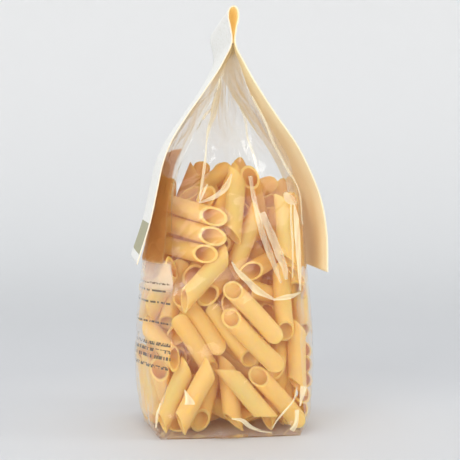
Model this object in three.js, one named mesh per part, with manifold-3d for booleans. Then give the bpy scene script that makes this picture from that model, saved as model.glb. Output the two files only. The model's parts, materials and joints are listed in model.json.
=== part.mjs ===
// A clear bag of penne with a folded header card, in millimetres, +Z up.
// The bag stands on its flat bottom with its folded-in side (the gusset) towards -Y,
// and the card's fold runs along Y. The origin is the middle of the base.
import * as THREE from 'three';
import { mergeVertices } from 'three/addons/utils/BufferGeometryUtils.js';
import Module from 'manifold-3d';

const wasm = await Module();
wasm.setup();

// Driving dimensions of the header card
const CARD_WIDTH = 100;
const CARD_THICKNESS = 0.7;
const CARD_STEPS = 110;
const LOOP_TOP = 257.65;
const LOOP_HALF_WIDTH = 3.1;
const LOOP_WIDEST_BELOW_TOP = 5.5;
const LOOP_TAPER_BELOW_TOP = 12.5;
const PINCH_HEIGHT = 237.6;
const PINCH_HALF_GAP = 0.9;
const FLAP_REACH = 57.55;

// Driving dimensions of the pasta
const PENNE_RADIUS = 5.15;
const PENNE_BORE = 3.9;
const PENNE_AXIS = 37;
const PENNE_SIDES = 8;
const BORE_DEPTH = 7;

// Pieces seen through the front, foremost first: middle across and up, lean of the axis from level,
// how far its far end comes forward (both in degrees), and the end that shows its opening
const FRONT_PIECES = [
  { x: -17, z: 99, lean: 52, forward: 4, opening: 'none' },
  { x: 13, z: 76, lean: -49, forward: -4, opening: 'start' },
  { x: -23, z: 63, lean: -61, forward: 0, opening: 'start' },
  { x: 12, z: 55, lean: -47, forward: -4, opening: 'start' },
  { x: 10, z: 25, lean: -48, forward: 4, opening: 'none' },
  { x: -23, z: 24, lean: 72, forward: 4, opening: 'none' },
  { x: -27, z: 138, lean: -20, forward: 12, opening: 'end' },
  { x: -25, z: 124, lean: -20, forward: 12, opening: 'end' },
  { x: -35, z: 27, lean: 60, forward: 8, opening: 'none' },
  { x: -4, z: 91, lean: 40, forward: -12, opening: 'start' },
  { x: 33, z: 44, lean: 62, forward: -14, opening: 'start' },
  { x: -2, z: 23, lean: -75, forward: 0, opening: 'none' },
  { x: -28, z: 112, lean: -15, forward: 12, opening: 'end' },
  { x: 4, z: 141, lean: -98, forward: 4, opening: 'none' },
  { x: 32, z: 124, lean: -88, forward: -6, opening: 'none' },
  { x: 28, z: 27, lean: -43, forward: -8, opening: 'none' },
  { x: -47, z: 23, lean: -75, forward: 0, opening: 'none' },
  { x: 20, z: 102, lean: 10, forward: -10, opening: 'none' },
  { x: 40, z: 58, lean: -86, forward: 0, opening: 'none' },
  { x: 24, z: 148, lean: -62, forward: -12, opening: 'start' },
  { x: 0, z: 54, lean: -47, forward: 12, opening: 'end' },
  { x: -33, z: 72, lean: 58, forward: -14, opening: 'start' },
  { x: 8, z: 115, lean: -100, forward: 6, opening: 'none' },
  { x: 33, z: 86, lean: -90, forward: 10, opening: 'end' },
  { x: -7, z: 12, lean: -20, forward: 0, opening: 'none' },
  { x: -8, z: 141, lean: -104, forward: 6, opening: 'none' },
  { x: 42, z: 119, lean: -89, forward: 0, opening: 'none' },
];

// How the pasta is laid: gaps between tube axes, and how far a piece starts out, moves in and may sink
const FRONT_START = -55;
const FRONT_GAP = 7.2;
const SIDE_PIECES = 84;
const SIDE_TRIES = 4000;
const SIDE_START = 62;
const SIDE_GAP = 9.2;
const SIDE_NOD = 0.6;
const LOWEST_MIDDLE = 7;
const HIGHEST_MIDDLE = 155;
const LEAST_BASE_GAP = 2.45;
const FILM_GAP = 0.3;
const PUSH_STEP = 0.5;
const FARTHEST_PUSH = 40;
const DEEPEST_SINK = 6;

// Driving dimensions of the bag
const FILM_TO_CORE = 7;
const PASTA_TOP = 160;
const BASE_FLARE = 16;
const TOP_FLARE = 14;
const NECK_HALF_THICKNESS = 0.25;
const NECK_HEIGHT = 236;

// The bag's section by height: its two corner lines, how far its wide panels belly out,
// the half depth at the corners and at the middle of the gusset, which folds in above the pasta.
const BAG_SECTIONS = [
  { height: 0, left: -43, right: 42, leftBelly: -47, rightBelly: 47, corner: 41.5, gusset: 43 },
  { height: 5, left: -45, right: 44.5, leftBelly: -51.5, rightBelly: 51.5, corner: 43.5, gusset: 46 },
  { height: 20, left: -43, right: 45, leftBelly: -55.5, rightBelly: 55.5, corner: 45, gusset: 48 },
  { height: 42, left: -39, right: 43, leftBelly: -56.8, rightBelly: 56.8, corner: 45.5, gusset: 49 },
  { height: 80, left: -36, right: 40.5, leftBelly: -55, rightBelly: 55, corner: 45.5, gusset: 49 },
  { height: 112, left: -36.5, right: 41, leftBelly: -51, rightBelly: 51, corner: 46, gusset: 48.5 },
  { height: 135, left: -37.5, right: 40.5, leftBelly: -46.6, rightBelly: 48.5, corner: 46.5, gusset: 47.5 },
  { height: 152, left: -36, right: 38, leftBelly: -43, rightBelly: 46, corner: 47, gusset: 44 },
  { height: 168, left: -30, right: 30, leftBelly: -39, rightBelly: 41, corner: 47.5, gusset: 35 },
  { height: 188, left: -20, right: 19, leftBelly: -29, rightBelly: 28, corner: 48, gusset: 27 },
  { height: 208, left: -10, right: 9, leftBelly: -15.3, rightBelly: 14.4, corner: 48.3, gusset: 28 },
  { height: 226, left: -3, right: 3, leftBelly: -4, rightBelly: 4, corner: 48.5, gusset: 38 },
  { height: 231, left: -1, right: 1, leftBelly: -1.6, rightBelly: 1.6, corner: 48.5, gusset: 45 },
  {
    height: NECK_HEIGHT,
    left: -NECK_HALF_THICKNESS,
    right: NECK_HALF_THICKNESS,
    leftBelly: -NECK_HALF_THICKNESS,
    rightBelly: NECK_HALF_THICKNESS,
    corner: 48.5,
    gusset: 48.5,
  },
];
const RING_HEIGHTS = [
  0, 2, 5, 10, 20, 31, 42, 55, 68, 80, 96, 112, 124, 135, 144, 152, 160, 168, 178, 188, 198, 208, 217, 226, 231,
  NECK_HEIGHT,
];
const PANEL_STEPS = 8;

const COLOURS = {
  pasta: new THREE.MeshStandardMaterial({ color: 0xe9bf79, roughness: 0.5, metalness: 0 }),
  card: new THREE.MeshStandardMaterial({ color: 0xe6cfa2, roughness: 0.75, metalness: 0 }),
};

// A smooth curve through the sections' values
const SECTION_KEYS = ['left', 'right', 'leftBelly', 'rightBelly', 'corner', 'gusset'];
const sectionCurve = new THREE.CubicInterpolant(
  BAG_SECTIONS.map((section) => section.height),
  BAG_SECTIONS.flatMap((section) => SECTION_KEYS.map((key) => section[key])),
  SECTION_KEYS.length,
);

function sectionAt(height) {
  const values = sectionCurve.evaluate(height);
  return Object.fromEntries(SECTION_KEYS.map((key, i) => [key, values[i]]));
}

// The outline of the bag at a height, anticlockwise from the front left corner, moved in by inset
function bagOutline(height, inset = 0) {
  const s = sectionAt(height);
  const outline = [];
  for (const [corner, nextCorner, side] of [
    [s.left, s.right, -1],
    [s.right, s.left, 1],
  ]) {
    for (let i = 0; i < PANEL_STEPS; i++) {
      const along = i / PANEL_STEPS;
      const belly = 4 * along * (1 - along);
      const x = THREE.MathUtils.lerp(corner, nextCorner, along);
      outline.push(new THREE.Vector2(x, side * (s.corner + (s.gusset - s.corner) * belly)));
    }
    const middle = side < 0 ? s.rightBelly : s.leftBelly;
    for (let i = 0; i < PANEL_STEPS; i++) {
      const along = i / PANEL_STEPS;
      const belly = 4 * along * (1 - along);
      const y = side * s.corner * (1 - 2 * along);
      outline.push(new THREE.Vector2(nextCorner + (middle - nextCorner) * belly, y));
    }
  }
  if (inset > 0) {
    for (const point of outline) point.setLength(point.length() - inset);
  }
  return outline;
}

// A closed skin over one ring of points at each height, as a solid
function loft(heights, insetAt) {
  const vertices = [];
  const triangles = [];
  const around = 4 * PANEL_STEPS;
  for (const height of heights) {
    for (const point of bagOutline(height, insetAt(height))) vertices.push(point.x, point.y, height);
  }
  for (let ring = 0; ring + 1 < heights.length; ring++) {
    for (let i = 0; i < around; i++) {
      const here = ring * around + i;
      const next = ring * around + ((i + 1) % around);
      triangles.push(here, next, next + around, here, next + around, here + around);
    }
  }
  const bottomMiddle = vertices.length / 3;
  const lastRing = (heights.length - 1) * around;
  vertices.push(0, 0, heights[0], 0, 0, heights.at(-1));
  for (let i = 0; i < around; i++) {
    const next = (i + 1) % around;
    triangles.push(bottomMiddle, next, i);
    triangles.push(bottomMiddle + 1, lastRing + i, lastRing + next);
  }
  const geometry = new THREE.BufferGeometry();
  geometry.setAttribute('position', new THREE.Float32BufferAttribute(vertices, 3));
  geometry.setIndex(triangles);
  return solidOf(geometry);
}

function solidOf(geometry) {
  const bare = geometry.index ? geometry.toNonIndexed() : geometry.clone();
  bare.deleteAttribute('normal');
  bare.deleteAttribute('uv');
  const merged = mergeVertices(bare, 1e-4);
  return new wasm.Manifold(
    new wasm.Mesh({
      numProp: 3,
      vertProperties: merged.attributes.position.array,
      triVerts: new Uint32Array(merged.index.array),
    }),
  );
}

function geometryOf(solid) {
  const mesh = solid.getMesh();
  const geometry = new THREE.BufferGeometry();
  geometry.setAttribute('position', new THREE.BufferAttribute(mesh.vertProperties, 3));
  geometry.setIndex(new THREE.BufferAttribute(mesh.triVerts, 1));
  geometry.computeVertexNormals();
  return geometry;
}

// One tube of penne along +Z about its middle, both ends cut on the same slant, with a blind bore at each
function penneGeometry() {
  const vertices = [];
  const triangles = [];
  const half = PENNE_AXIS / 2;
  const rings = [
    { radius: PENNE_BORE, height: -half + BORE_DEPTH, slant: 0 },
    { radius: PENNE_BORE, height: -half, slant: 1 },
    { radius: PENNE_RADIUS, height: -half, slant: 1 },
    { radius: PENNE_RADIUS, height: half, slant: 1 },
    { radius: PENNE_BORE, height: half, slant: 1 },
    { radius: PENNE_BORE, height: half - BORE_DEPTH, slant: 0 },
  ];
  for (const ring of rings) {
    for (let i = 0; i < PENNE_SIDES; i++) {
      const angle = ((i + 0.5) * 2 * Math.PI) / PENNE_SIDES;
      const x = ring.radius * Math.cos(angle);
      vertices.push(x, ring.radius * Math.sin(angle), ring.height + ring.slant * x);
    }
  }
  for (let ring = 0; ring + 1 < rings.length; ring++) {
    for (let i = 0; i < PENNE_SIDES; i++) {
      const here = ring * PENNE_SIDES + i;
      const next = ring * PENNE_SIDES + ((i + 1) % PENNE_SIDES);
      triangles.push(here, next, next + PENNE_SIDES, here, next + PENNE_SIDES, here + PENNE_SIDES);
    }
  }
  const lastRing = (rings.length - 1) * PENNE_SIDES;
  for (let i = 1; i + 1 < PENNE_SIDES; i++) {
    triangles.push(0, i + 1, i);
    triangles.push(lastRing, lastRing + i, lastRing + i + 1);
  }
  const geometry = new THREE.BufferGeometry();
  geometry.setAttribute('position', new THREE.Float32BufferAttribute(vertices, 3));
  geometry.setIndex(triangles);
  return geometry;
}

// A piece of pasta: its middle, the direction of its axis, and the side on which its far end runs to a tip
function placePiece(middle, axis, tipSide) {
  const w = axis.clone().normalize();
  const u = tipSide.clone().addScaledVector(w, -tipSide.dot(w)).normalize();
  const v = new THREE.Vector3().crossVectors(w, u);
  return { middle: middle.clone(), w, u, v };
}

function axisLine(piece) {
  const reach = piece.w.clone().multiplyScalar(PENNE_AXIS / 2);
  return new THREE.Line3(piece.middle.clone().sub(reach), piece.middle.clone().add(reach));
}

// How far a point lies inside the bag's outline at its height; negative outside
function depthInBag(point) {
  if (point.z < 0) return point.z;
  const outline = bagOutline(point.z);
  let least = Infinity;
  for (let i = 0; i < outline.length; i++) {
    const a = outline[i];
    const b = outline[(i + 1) % outline.length];
    const edge = b.clone().sub(a).normalize();
    least = Math.min(least, edge.x * (point.y - a.y) - edge.y * (point.x - a.x));
  }
  return least;
}

function isInsideFilm(piece) {
  const line = axisLine(piece);
  const points = [0, 0.25, 0.5, 0.75, 1].map((t) => line.at(t, new THREE.Vector3()));
  const baseGap = Math.min(line.start.z, line.end.z) - PENNE_RADIUS;
  return baseGap >= LEAST_BASE_GAP && Math.min(...points.map(depthInBag)) >= PENNE_RADIUS + FILM_GAP;
}

function nearestPiece(piece, others) {
  const line = axisLine(piece);
  return Math.min(Infinity, ...others.map((other) => Math.sqrt(line.distanceSqToLine3(axisLine(other)))));
}

// A repeatable draw between 0 and 1
let seed = 20261;
function draw() {
  seed = (seed * 16807) % 2147483647;
  return seed / 2147483647;
}

// Moves a piece inwards until it is inside the film, then until it clears the pieces laid before it.
// The answer says whether it found a place near the film.
function settle(piece, inwards, placed, gap) {
  let pushed = 0;
  while (!isInsideFilm(piece) && pushed < FARTHEST_PUSH) {
    piece.middle.addScaledVector(inwards, PUSH_STEP);
    pushed += PUSH_STEP;
  }
  let sunk = 0;
  while (nearestPiece(piece, placed) < gap && sunk < DEEPEST_SINK) {
    piece.middle.addScaledVector(inwards, PUSH_STEP);
    sunk += PUSH_STEP;
  }
  return pushed < FARTHEST_PUSH && sunk < DEEPEST_SINK;
}

function layFrontPieces(placed) {
  for (const { x, z, lean, forward, opening } of FRONT_PIECES) {
    const leanAngle = THREE.MathUtils.degToRad(lean);
    const forwardAngle = THREE.MathUtils.degToRad(forward);
    const axis = new THREE.Vector3(
      Math.cos(leanAngle) * Math.cos(forwardAngle),
      -Math.sin(forwardAngle),
      Math.sin(leanAngle) * Math.cos(forwardAngle),
    );
    const tipSide = {
      start: new THREE.Vector3(0, -1, 0),
      end: new THREE.Vector3(0, 1, 0),
      none: new THREE.Vector3(-Math.sin(leanAngle), 0.4, Math.cos(leanAngle)),
    }[opening];
    const piece = placePiece(new THREE.Vector3(x, FRONT_START, z), axis, tipSide);
    if (settle(piece, new THREE.Vector3(0, 1, 0), placed, FRONT_GAP)) placed.push(piece);
  }
}

// Pieces against the other sides, each at a random bearing, height and lean, kept where it fits
function laySidePieces(placed) {
  const most = placed.length + SIDE_PIECES;
  for (let attempt = 0; attempt < SIDE_TRIES && placed.length < most; attempt++) {
    const bearing = draw() * 2 * Math.PI;
    const outwards = new THREE.Vector3(Math.cos(bearing), Math.sin(bearing), 0);
    const across = new THREE.Vector3(-outwards.y, outwards.x, 0);
    const lean = (draw() - 0.5) * Math.PI;
    const nod = (draw() - 0.5) * SIDE_NOD;
    const axis = across.clone().multiplyScalar(Math.cos(lean));
    axis.z = Math.sin(lean);
    axis.addScaledVector(outwards, nod);
    const middle = outwards.clone().multiplyScalar(SIDE_START);
    middle.z = THREE.MathUtils.lerp(LOWEST_MIDDLE, HIGHEST_MIDDLE, draw());
    const tipSide = outwards.clone().multiplyScalar(nod > 0 ? -1 : 1).addScaledVector(across, draw() - 0.5);
    const piece = placePiece(middle, axis, tipSide);
    const fits = settle(piece, outwards.clone().negate(), [], SIDE_GAP);
    if (fits && nearestPiece(piece, placed) > SIDE_GAP) placed.push(piece);
  }
}

function arrangePasta() {
  const placed = [];
  layFrontPieces(placed);
  laySidePieces(placed);
  return placed;
}

// The filled bag: a core a little inside the film, the pasta that shows fused on, and the empty top
function bag() {
  const insetAt = (height) => {
    const fromBase = THREE.MathUtils.smoothstep(height, 0, BASE_FLARE);
    const fromTop = 1 - THREE.MathUtils.smoothstep(height, PASTA_TOP - TOP_FLARE, PASTA_TOP);
    return FILM_TO_CORE * fromBase * fromTop;
  };
  const core = loft(RING_HEIGHTS, insetAt);
  const film = loft(RING_HEIGHTS, () => 0);
  const template = penneGeometry();
  const pieces = arrangePasta().map((piece) => {
    const matrix = new THREE.Matrix4().makeBasis(piece.u, piece.v, piece.w).setPosition(piece.middle);
    return solidOf(template.clone().applyMatrix4(matrix));
  });
  const joined = wasm.Manifold.union([core, ...pieces]).intersect(film);
  const bodies = joined.decompose().sort((a, b) => b.volume() - a.volume());
  const mesh = new THREE.Mesh(geometryOf(bodies[0]), COLOURS.pasta);
  mesh.name = 'filled_bag';
  return mesh;
}

// The header card: one strip folded over the bag's neck, open in a drop-shaped loop at the top,
// pinched below it, with two flaps that lie down the bag's wide panels
function headerCard() {
  const leftFlap = [
    [-FLAP_REACH, 106],
    [-49.3, 131.3],
    [-45.2, 149.5],
    [-41.1, 167],
    [-36.4, 178.7],
    [-28.1, 192.2],
    [-16.9, 208.1],
    [-5.7, 225.8],
  ];
  const rightFlap = [
    [7.2, 223.1],
    [16.9, 206.8],
    [27.7, 191],
    [37.4, 177.4],
    [45.9, 161.4],
    [52.6, 144.7],
    [56.4, 125.6],
    [FLAP_REACH, 100.4],
  ];
  const loop = [
    [-PINCH_HALF_GAP, PINCH_HEIGHT],
    [-0.6 * LOOP_HALF_WIDTH, LOOP_TOP - LOOP_TAPER_BELOW_TOP],
    [-LOOP_HALF_WIDTH, LOOP_TOP - LOOP_WIDEST_BELOW_TOP],
    [-0.65 * LOOP_HALF_WIDTH, LOOP_TOP - 1.2],
    [0, LOOP_TOP],
    [0.65 * LOOP_HALF_WIDTH, LOOP_TOP - 1.2],
    [LOOP_HALF_WIDTH, LOOP_TOP - LOOP_WIDEST_BELOW_TOP],
    [0.6 * LOOP_HALF_WIDTH, LOOP_TOP - LOOP_TAPER_BELOW_TOP],
    [PINCH_HALF_GAP, PINCH_HEIGHT],
  ];
  const points = [...leftFlap, ...loop, ...rightFlap].map(([x, z]) => new THREE.Vector2(x, z));
  const route = new THREE.SplineCurve(points);
  const outside = [];
  const inside = [];
  for (let i = 0; i <= CARD_STEPS; i++) {
    const along = i / CARD_STEPS;
    const point = route.getPointAt(along);
    const tangent = route.getTangentAt(along);
    const normal = new THREE.Vector2(-tangent.y, tangent.x).multiplyScalar(CARD_THICKNESS / 2);
    outside.push(point.clone().add(normal));
    inside.unshift(point.clone().sub(normal));
  }
  const strip = new THREE.ExtrudeGeometry(new THREE.Shape([...outside, ...inside]), {
    depth: CARD_WIDTH,
    bevelEnabled: false,
    steps: 1,
  });
  strip.rotateX(Math.PI / 2);
  strip.translate(0, CARD_WIDTH / 2, 0);
  const mesh = new THREE.Mesh(strip, COLOURS.card);
  mesh.name = 'header_card';
  return mesh;
}

const packet = new THREE.Group();
packet.add(bag(), headerCard());

export default packet;
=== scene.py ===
import json
import math

import bmesh
import bpy
import numpy as np
from bpy.props import FloatProperty, FloatVectorProperty, IntProperty, PointerProperty
from mathutils import Matrix, Vector

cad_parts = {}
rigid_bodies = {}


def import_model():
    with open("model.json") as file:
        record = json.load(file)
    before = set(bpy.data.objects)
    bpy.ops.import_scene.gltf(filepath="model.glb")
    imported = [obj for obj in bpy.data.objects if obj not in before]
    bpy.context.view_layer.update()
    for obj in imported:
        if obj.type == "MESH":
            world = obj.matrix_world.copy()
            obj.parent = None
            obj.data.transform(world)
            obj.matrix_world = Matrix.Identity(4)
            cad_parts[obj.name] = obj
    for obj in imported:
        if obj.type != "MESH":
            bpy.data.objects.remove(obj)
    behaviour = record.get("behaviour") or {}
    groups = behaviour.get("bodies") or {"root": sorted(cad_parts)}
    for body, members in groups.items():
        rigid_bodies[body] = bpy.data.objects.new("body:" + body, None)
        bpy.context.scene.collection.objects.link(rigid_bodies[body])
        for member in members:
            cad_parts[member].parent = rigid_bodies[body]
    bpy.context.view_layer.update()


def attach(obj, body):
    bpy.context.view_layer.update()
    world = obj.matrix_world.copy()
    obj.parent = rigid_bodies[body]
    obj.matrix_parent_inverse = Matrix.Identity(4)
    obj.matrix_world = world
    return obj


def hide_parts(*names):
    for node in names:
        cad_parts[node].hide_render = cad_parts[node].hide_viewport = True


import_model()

bl_info = {
    "name": "Pasta packet",
    "version": (1, 0, 0),
    "blender": (4, 5, 0),
    "location": "View3D > Sidebar > Pasta packet",
    "description": "Dresses the packed pasta packet with penne, clear film and a folded header card",
    "category": "Object",
}

BODY = "root"
SEED = 11

# The bag's section by height, in metres: height, left and right corner line, left and right belly of
# the wide panels, half depth at the corners and at the middle of the gusset. It follows the solid, and
# its gusset is folded deeper near the neck
BAG_SECTIONS = np.array([
    (0.000, -0.0430, 0.0420, -0.0470, 0.0470, 0.0415, 0.0430),
    (0.005, -0.0450, 0.0445, -0.0515, 0.0515, 0.0435, 0.0460),
    (0.020, -0.0430, 0.0450, -0.0555, 0.0555, 0.0450, 0.0480),
    (0.042, -0.0390, 0.0430, -0.0568, 0.0568, 0.0455, 0.0490),
    (0.080, -0.0360, 0.0405, -0.0550, 0.0550, 0.0455, 0.0490),
    (0.112, -0.0365, 0.0410, -0.0510, 0.0510, 0.0460, 0.0485),
    (0.135, -0.0375, 0.0405, -0.0466, 0.0485, 0.0465, 0.0475),
    (0.152, -0.0360, 0.0380, -0.0430, 0.0460, 0.0470, 0.0440),
    (0.168, -0.0300, 0.0300, -0.0390, 0.0410, 0.0475, 0.0350),
    (0.188, -0.0200, 0.0190, -0.0290, 0.0280, 0.0480, 0.0230),
    (0.208, -0.0100, 0.0090, -0.0153, 0.0144, 0.0483, 0.0170),
    (0.226, -0.0030, 0.0030, -0.0040, 0.0040, 0.0485, 0.0145),
    (0.231, -0.0010, 0.0010, -0.0014, 0.0014, 0.0485, 0.0140),
    (0.236, -0.0004, 0.0004, -0.0004, 0.0004, 0.0485, 0.0140),
])
NECK_HEIGHT = 0.236
# Between these heights the gusset turns from a rounded panel to a sharp fold
FOLD_START = 0.146
FOLD_FULL = 0.180

# The card's middle line across the fold, in metres (across, up), from the left flap's end to the right's
CARD_WIDTH = 0.100
CARD_LEFT_FLAP = [
    (-0.05755, 0.1060), (-0.0493, 0.1313), (-0.0452, 0.1495), (-0.0411, 0.1670),
    (-0.0364, 0.1787), (-0.0281, 0.1922), (-0.0169, 0.2081), (-0.0057, 0.2258),
]
CARD_LOOP = [
    (-0.0009, 0.2376), (-0.00186, 0.24515), (-0.0031, 0.25215), (-0.0020, 0.25645), (0.0, 0.25765),
    (0.0020, 0.25645), (0.0031, 0.25215), (0.00186, 0.24515), (0.0009, 0.2376),
]
CARD_RIGHT_FLAP = [
    (0.0072, 0.2231), (0.0169, 0.2068), (0.0277, 0.1910), (0.0374, 0.1774),
    (0.0459, 0.1614), (0.0526, 0.1447), (0.0564, 0.1256), (0.05755, 0.1004),
]

# Tubes that show through the front: middle across and up in metres, lean from level and how far the
# far end comes forward in degrees, how deep they lie (0 against the film), and what faces the front
FRONT_TUBES = [
    (-0.018, 0.097, -130, 8, 0, "side"),
    (0.013, 0.076, -47, -5, 0, "start"),
    (0.013, 0.058, -47, -3, 0, "start"),
    (-0.022, 0.067, -56, -12, 0, "start"),
    (0.009, 0.026, -48, 10, 0, "side"),
    (-0.023, 0.025, -118, 0, 0, "side"),
    (-0.034, 0.027, -119, 5, 0, "side"),
    (-0.026, 0.137, -17, 50, 0, "end"),
    (-0.027, 0.124, -21, 52, 0, "end"),
    (-0.029, 0.110, -5, 50, 0, "end"),
    (-0.003, 0.095, 40, -42, 1, "start"),
    (0.000, 0.056, -47, 12, 1, "end"),
    (-0.001, 0.023, -78, 0, 1, "side"),
    (0.037, 0.050, 66, -45, 1, "start"),
    (-0.025, 0.075, 55, -35, 1, "start"),
    (0.032, 0.082, -88, 20, 1, "end"),
    (0.003, 0.140, -96, 8, 1, "side"),
    (0.034, 0.124, -85, 5, 1, "side"),
    (0.010, 0.117, -110, 10, 1, "side"),
    (0.026, 0.100, 9, -38, 1, "start"),
    (0.027, 0.024, -53, -10, 1, "start"),
    (0.026, 0.144, -70, -40, 1, "start"),
    (-0.044, 0.023, -62, -15, 1, "start"),
    (0.000, 0.143, -112, 12, 2, "side"),
    (-0.051, 0.025, -74, 0, 1, "side"),
    (-0.004, 0.008, -21, 20, 2, "side"),
    (-0.016, 0.022, 72, -10, 2, "start"),
    (0.042, 0.046, -88, 5, 1, "side"),
    (0.041, 0.116, -88, 5, 1, "side"),
    (0.031, 0.022, -112, 20, 1, "side"),
    (0.007, 0.120, 11, -45, 2, "start"),
    (-0.019, 0.105, 39, -50, 2, "start"),
    (-0.032, 0.011, 14, -55, 1, "start"),
    (-0.017, 0.056, -59, 8, 1, "end"),
]

# How the front tubes find their depth, in metres: where the first layer starts, how much deeper each
# next one does, the room kept from the film, each step back, and how far past its layer a tube may go
FRONT_PLANE = -0.050
LAYER_DEPTH = 0.006
FRONT_ROOM = 0.0004
STEP_BACK = 0.0004
FRONT_SLACK = 0.004

# From this depth on, a tube that doesn't fit yet also moves towards the middle, by a share of its
# place across
ASIDE_FROM = -0.034
DRIFT_ASIDE = 0.01

# In tube radii: how near two front tubes' axes may lie, how far to each side a front tube has to stay
# in sight, and how far behind its axis the others then keep
FRONT_GAP = 1.95
HIDES_WITHIN = 1.5
STAY_BEHIND = 1.7

# The heap's upper surface, in metres: its height at the edge, the hump across its middle, and slow
# waves from front to back with their turn in radians for each metre
PILE_TOP = 0.172
PILE_EDGE = PILE_TOP - 0.018
PILE_HUMP = 0.014
PILE_WIDTH = 0.034
PILE_WAVE = 0.003
PILE_WAVE_TURN = 90

# Where the heap's tubes start out: half width, half depth, how far back, and room above the floor
START_WIDTH = 0.046
START_DEPTH = 0.036
START_BACK = 0.008
START_ROOM = 0.012

# How the heap settles: the metres that it sinks in a round, the share of the rounds over which that
# fades out, and the room kept from the film and the floor
ROUNDS = 700
FALL = 0.00022
FALL_ENDS = (0.35, 0.7)
FILM_ROOM = 0.0003
FLOOR_ROOM = 0.0010

# The share of a fault that each rule puts right in a round, and how much a front tube gives way
# where another gives way by 1
PUSH_APART = 0.42
FRONT_GIVES = 0.15
PULL_TO_PLACE = 0.06
LAST_PULL = 0.015
LAST_PULL_AFTER = 0.85
PRESS_DOWN = 0.15
KEEP_BEHIND = 0.08
TURN_ALONG = 0.02
TURN_WITHIN = 1.7

# The room that the tubes' tips keep from the film and the floor, the room past which a roll is as
# good as any other, and how many rolls are tried
TIP_ROOM = 0.0005
TIP_FLOOR_ROOM = 0.0008
TIP_ROOM_ENOUGH = 0.0006
ROLLS = 12
DRAW_IN_ROUNDS = 6

# How finely the tubes of each piece are made: faces round a tube and rings of points along it
TUBE_DETAIL = {"front_tubes": (24, 5), "heaped_tubes": (12, 3)}

# A tube's tone, partly chance and partly painted shade: the share that chance has, and the depths over
# which the painted shade goes from pale to deep
TONE_CHANCE = 0.35
SHADE_DEPTHS = (0.009, 0.024)

# Folds of the film that show from the front, milky, and painted highlights laid as the same strips: how
# milky each is, and its middle line as across, up and width in millimetres
PLEATS_AND_PAINTED_GLINTS = [
    (0.50, [(17, 136, 4.2), (21, 127, 4.2), (25, 118, 4.8), (28, 110, 4.8), (31, 103, 3.6),
            (32, 96, 1.8)]),
    (0.42, [(11, 158, 2.4), (12, 148, 2.4), (14, 138, 3.0), (18, 122, 3.6), (25, 104, 3.0),
            (29, 94, 1.2)]),
    (0.62, [(-1, 107, 0.8), (2, 102, 2.4), (8, 96, 3.6), (14, 90, 4.2), (21, 86, 2.4),
            (25, 84, 0.9)]),
    (0.70, [(24, 84, 1.0), (30, 85, 3.0), (36, 86, 2.6), (41, 88, 0.7)]),
    (0.75, [(37, 141, 0.8), (38, 133, 2.9), (39, 120, 3.3), (40, 106, 2.6), (41, 89, 0.9)]),
    (0.60, [(35, 144, 0.6), (35, 133, 1.3), (36, 117, 1.3), (36, 97, 0.8)]),
    (0.45, [(31, 148, 1.8), (34, 144, 5.4), (38, 141, 2.0)]),
    (0.55, [(11, 205, 0.7), (16, 196, 1.2), (25, 176, 1.3), (32, 163, 1.3), (39, 151, 0.8),
            (42, 129, 0.6)]),
    (0.45, [(6, 200, 0.6), (9, 191, 1.0), (10, 182, 1.2), (13, 172, 1.4), (16, 159, 1.0)]),
    (0.70, [(-20, 142, 0.6), (-17, 149, 1.4), (-15, 153, 0.8)]),
    (0.50, [(-20, 142, 0.9), (-12, 145, 2.4), (-5, 150, 3.6), (0, 159, 1.2)]),
    (0.80, [(-8, 215, 1.0), (-8, 208, 3.2), (-10, 200, 5.0), (-11, 194, 3.6), (-14, 185, 2.0),
            (-15, 178, 0.8)]),
    (0.65, [(-15, 180, 0.7), (-16, 167, 1.6), (-18, 155, 1.6), (-20, 144, 0.7)]),
    (0.55, [(-12, 198, 0.6), (-16, 194, 1.8), (-18, 191, 1.6)]),
    # The last six are painted highlights: milky-white patches low on the front that stand in for glints of
    # the lamps in the film's facets
    (0.85, [(-29, 31, 0.4), (-27, 26, 3.6), (-26, 23, 5.6), (-26, 22, 5.8)]),
    (0.80, [(-43, 23, 0.5), (-45, 17, 1.4), (-46, 8, 0.8)]),
    (0.85, [(-1, 13, 0.7), (5, 12, 2.2), (10, 8, 2.6), (16, 5, 1.5), (24, 3, 0.6)]),
    (0.80, [(39, 31, 0.6), (37, 23, 0.9), (31, 16, 1.1), (26, 10, 0.9), (24, 6, 0.5)]),
    (0.85, [(43, 31, 3.8), (42, 25, 2.6), (41, 19, 0.7)]),
    (0.85, [(39, 17, 2.6), (39, 12, 2.1), (38, 7, 3.0), (36, 4, 3.4)]),
]
# How milky a fold is from one edge (-1) to the loose one (1), the length of its faces, and the steps
# across the bag's front by which its depth is read
PLEAT_SHARES = ((-1.0, 1.0), (-0.6, 0.95), (0.0, 0.8), (0.6, 0.75), (1.0, 0.9))
PLEAT_STEP = 0.0016
FRONT_STEPS = 48

# How far a fold stands off the film, how much more of its width its loose edge lifts, and how low
# it may reach
PLEAT_STANDS_OFF = 0.0007
PLEAT_LIFT = 0.06
PLEAT_LOWEST = 0.0006

# The end of the bottom seal on the floor in front of the bag, as across and deep, and its two layers
SEAL_END = [
    (-0.011, -0.042), (0.010, -0.042), (0.009, -0.0475),
    (0.004, -0.0505), (-0.003, -0.0510), (-0.0105, -0.0495),
]
SEAL_LAYERS = (0.0010, 0.0018)

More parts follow.
